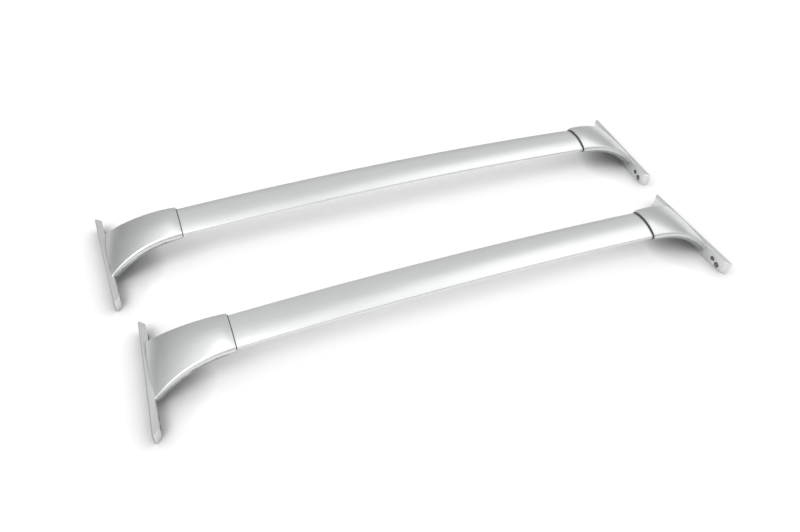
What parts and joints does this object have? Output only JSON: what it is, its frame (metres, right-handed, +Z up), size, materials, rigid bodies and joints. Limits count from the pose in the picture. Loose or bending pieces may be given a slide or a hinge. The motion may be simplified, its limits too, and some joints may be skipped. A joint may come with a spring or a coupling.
{
  "type": "roof crossbar pair",
  "caption": "Pair of arched roof crossbars with an aerofoil section, each ending in flared cast feet with upright rail plates for bolting between roof rails.",
  "frame": {"origin": "bottom centre of the pair's bounding box, on the floor that the rail plates stand on", "axes": "+X along the bars, +Z up; the short bar lies at -Y and the long bar at +Y"},
  "size_m": [1.0082, 0.4472, 0.0848],
  "materials": {
    "bar_silver": "satin silver anodised extrusion",
    "foot_silver": "satin silver paint on a die casting",
    "cover_silver": "moulded cover painted silver",
    "gasket_rubber": "black rubber seal",
    "pad_rubber": "grey rubber sheet",
    "screw_steel": "zinc-plated steel screws"
  },
  "bodies": {
    "root": {"short_bar_extrusion": "bar_silver", "short_bar_screws": "screw_steel", "short_cover_screws": "screw_steel", "short_left_foot_casting": "foot_silver", "short_left_under_cover": "cover_silver", "short_left_joint_gasket": "gasket_rubber", "short_left_rail_pad": "pad_rubber", "short_right_foot_casting": "foot_silver", "short_right_under_cover": "cover_silver", "short_right_joint_gasket": "gasket_rubber", "short_right_rail_pad": "pad_rubber", "long_bar_extrusion": "bar_silver", "long_bar_screws": "screw_steel", "long_cover_screws": "screw_steel", "long_left_foot_casting": "foot_silver", "long_left_under_cover": "cover_silver", "long_left_joint_gasket": "gasket_rubber", "long_left_rail_pad": "pad_rubber", "long_right_foot_casting": "foot_silver", "long_right_under_cover": "cover_silver", "long_right_joint_gasket": "gasket_rubber", "long_right_rail_pad": "pad_rubber"}
  },
  "joints": []
}
